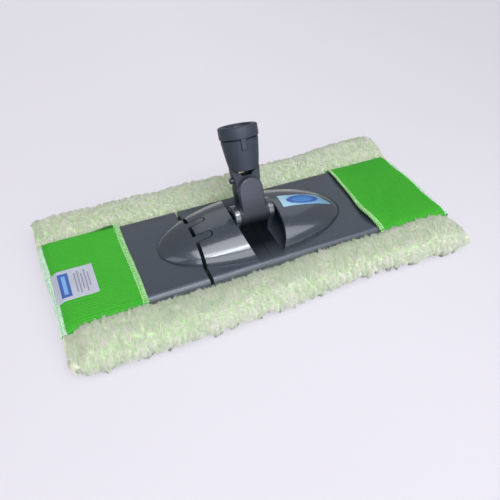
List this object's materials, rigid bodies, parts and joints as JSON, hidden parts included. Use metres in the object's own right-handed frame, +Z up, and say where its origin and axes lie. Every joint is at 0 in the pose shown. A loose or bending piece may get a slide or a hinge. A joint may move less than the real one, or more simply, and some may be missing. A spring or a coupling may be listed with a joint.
{
  "type": "flat mop head",
  "caption": "Flat floor mop: rigid frame with a fold-down wing, two-axis handle joint with a socket for a round handle, and a pocketed plush pad.",
  "frame": {"origin": "on the floor, under the middle of the pad, directly below the tilt axle", "axes": "+X along the pad with the folding wing on -X, +Y towards the back edge the handle leans to at rest, +Z up"},
  "size_m": [0.419, 0.195, 0.1324],
  "materials": {
    "frame_plastic": "semi-gloss moulded dark blue-grey plastic",
    "joint_plastic": "satin moulded dark grey plastic",
    "socket_plastic": "matt moulded dark grey plastic",
    "sleeve_plastic": "matt mid grey plastic",
    "button_plastic": "satin dark grey plastic",
    "steel": "plain steel",
    "magnet_nickel": "nickel plated",
    "plush_pile": "deep plush pile, pale green white",
    "backing_cloth": "woven base cloth",
    "pocket_fabric": "bright green ribbed webbing cloth",
    "hem_thread": "light green overlock thread",
    "seam_thread": "mint green overlock thread",
    "binding_thread": "pale yellow overlock thread",
    "label_satin": "white satin ribbon",
    "sticker_film": "light blue printed film"
  },
  "bodies": {
    "head": {"main_plate": "frame_plastic", "hinge_pins": "steel", "latch_magnets_main": "magnet_nickel", "tilt_axle": "steel", "axle_clip": "steel", "pile_main": "plush_pile", "backing_main": "backing_cloth", "pocket_right": "pocket_fabric", "pocket_hem_right": "hem_thread", "end_seam_right": "seam_thread", "end_binding_right": "binding_thread", "dome_sticker": "sticker_film"},
    "wing": {"wing_plate": "frame_plastic", "latch_magnets_wing": "magnet_nickel", "pile_wing": "plush_pile", "backing_wing": "backing_cloth", "pocket_left": "pocket_fabric", "pocket_hem_left": "hem_thread", "end_seam_left": "seam_thread", "end_binding_left": "binding_thread", "care_label": "label_satin"},
    "swivel": {"swivel_block": "joint_plastic", "swing_pin": "steel"},
    "socket": {"handle_socket": "socket_plastic", "socket_collar": "socket_plastic", "grip_sleeve": "sleeve_plastic"},
    "button": {"lock_button": "button_plastic", "button_spring": "steel"}
  },
  "joints": [
    {"name": "wing_fold", "type": "hinge", "parent": "head", "child": "wing", "pos_m": [-0.057, 0, 0.0215], "axis": [0, -1, 0], "range_deg": [0, 70]},
    {"name": "handle_tilt", "type": "hinge", "parent": "head", "child": "swivel", "pos_m": [-0.0015, 0, 0.0463], "axis": [1, 0, 0], "range_deg": [-48, 102]},
    {"name": "handle_swing", "type": "hinge", "parent": "swivel", "child": "socket", "pos_m": [-0.0015, 0.01135, 0.06857], "axis": [0, 0.891, -0.454], "range_deg": [-46, 46]},
    {"name": "button_press", "type": "slide", "parent": "socket", "child": "button", "axis": [1, 0, 0], "range_m": [0, 0.003], "stiffness_N_per_m": 150}
  ]
}
